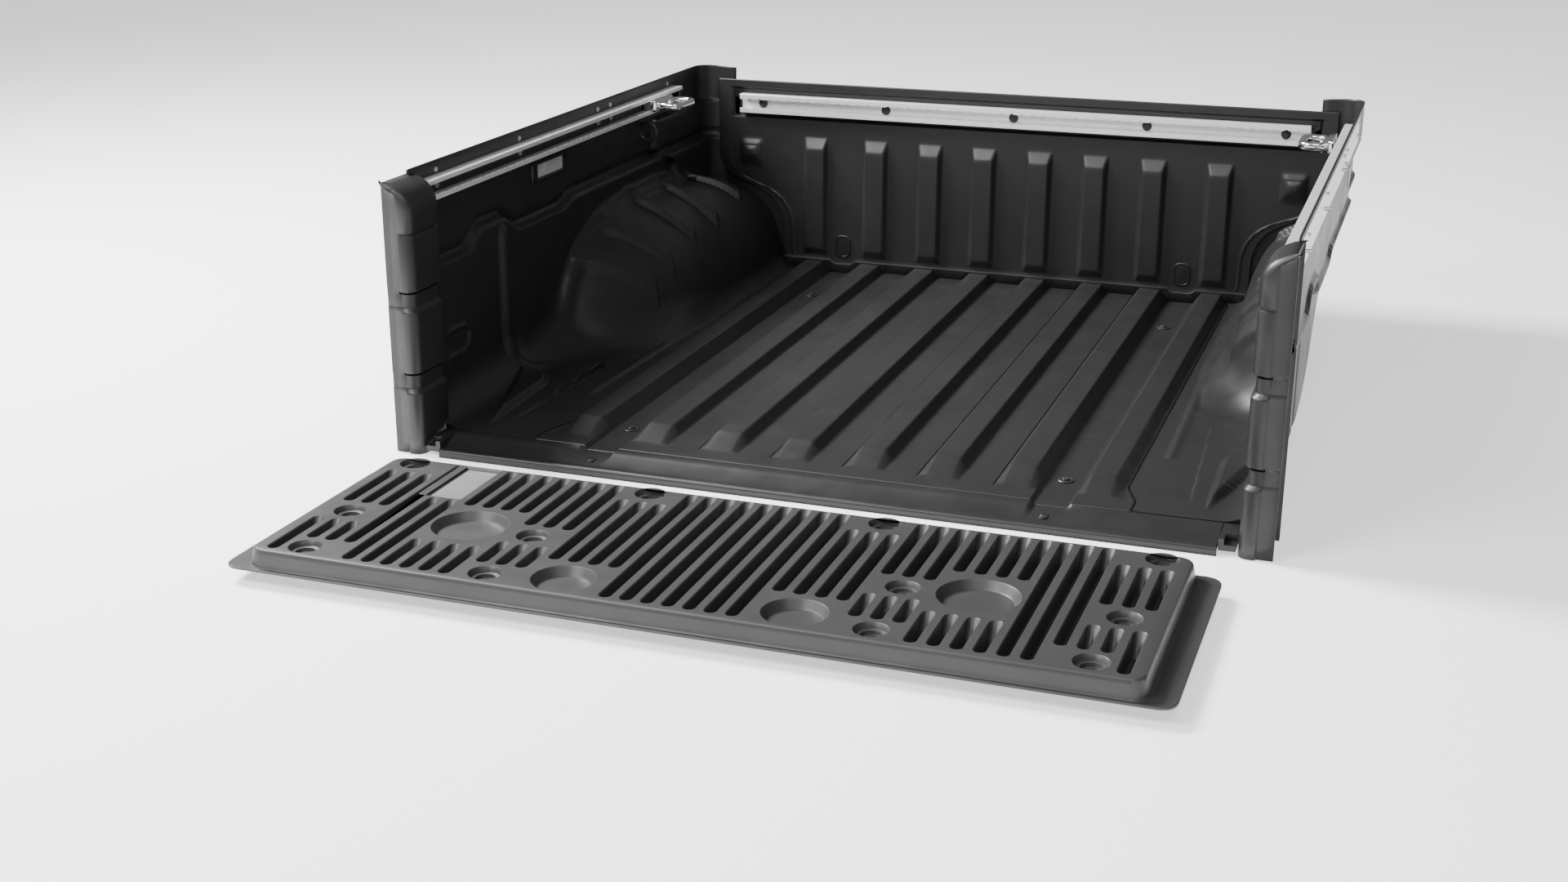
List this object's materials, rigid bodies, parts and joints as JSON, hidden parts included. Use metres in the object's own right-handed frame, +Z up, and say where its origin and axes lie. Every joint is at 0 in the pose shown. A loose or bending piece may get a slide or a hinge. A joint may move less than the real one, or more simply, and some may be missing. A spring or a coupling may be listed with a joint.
{
  "type": "truck bed liner",
  "caption": "Moulded pickup bed liner: ribbed floor, wheelhouse sides, front wall, post covers, slotted tailgate panel, tie-down rails and sliding cleats.",
  "frame": {"origin": "middle of the liner at its lowest level, the bottom edge of the sill strip", "axes": "+X to the right when facing the cab, +Y towards the cab, +Z up"},
  "size_m": [1.592, 2.161, 0.512],
  "materials": {
    "liner_plastic": "fine moulded grain",
    "tailgate_plastic": "fine moulded grain",
    "grey_plate": "satin",
    "black_steel": "black coated",
    "black_trim": "matt",
    "rail_aluminium": "satin anodised",
    "zinc_steel": "zinc plated",
    "cast_alloy": "polished casting",
    "lamp_lens": "frosted lens"
  },
  "bodies": {
    "bed": {"floor_panel": "liner_plastic", "left_side_liner": "liner_plastic", "right_side_liner": "liner_plastic", "front_panel": "liner_plastic", "sill_strip": "liner_plastic", "left_post_cover": "liner_plastic", "right_post_cover": "liner_plastic", "left_sill_end": "liner_plastic", "right_sill_end": "liner_plastic", "floor_screws": "black_steel", "floor_washers": "black_steel", "sill_screws": "black_steel", "front_rail_bolts": "black_steel", "left_tie_hook": "black_steel", "right_tie_hook": "black_steel", "lamp_screws": "black_steel", "front_plugs": "black_trim", "left_liner_clips": "black_trim", "right_liner_clips": "black_trim", "lamp_bezel": "black_trim", "left_rail_end_stops": "black_trim", "right_rail_end_stops": "black_trim", "front_rail": "rail_aluminium", "left_rail_rear": "rail_aluminium", "left_rail_front": "rail_aluminium", "right_rail_rear": "rail_aluminium", "right_rail_front": "rail_aluminium", "left_rail_bolts": "zinc_steel", "right_rail_bolts": "zinc_steel", "left_rail_rivets": "zinc_steel", "right_rail_rivets": "zinc_steel", "lamp_lens": "lamp_lens"},
    "tailgate": {"tailgate_panel": "tailgate_plastic", "tailgate_screws": "black_steel", "tailgate_pocket_plate": "grey_plate"},
    "left_cleat": {"left_cleat_loop": "cast_alloy", "left_cleat_nut": "zinc_steel"},
    "left_cleat_screw": {"left_cleat_bolt": "zinc_steel"},
    "right_cleat": {"right_cleat_loop": "cast_alloy", "right_cleat_nut": "zinc_steel"},
    "right_cleat_screw": {"right_cleat_bolt": "zinc_steel"}
  },
  "joints": [
    {"name": "tailgate_swing", "type": "hinge", "parent": "bed", "child": "tailgate", "pos_m": [0, -0.5295, -0.01], "axis": [-1, 0, 0], "range_deg": [0, 90]},
    {"name": "left_cleat_slide", "type": "slide", "parent": "bed", "child": "left_cleat", "axis": [0, 1, 0], "range_m": [-1, 0.09]},
    {"name": "left_cleat_screw_turn", "type": "hinge", "parent": "left_cleat", "child": "left_cleat_screw", "pos_m": [-0.739, 0.7205, 0.469], "axis": [1, 0, 0], "range_deg": [0, 720]},
    {"name": "right_cleat_slide", "type": "slide", "parent": "bed", "child": "right_cleat", "axis": [0, 1, 0], "range_m": [-1, 0.09]},
    {"name": "right_cleat_screw_turn", "type": "hinge", "parent": "right_cleat", "child": "right_cleat_screw", "pos_m": [0.739, 0.7205, 0.469], "axis": [-1, 0, 0], "range_deg": [0, 720]}
  ]
}
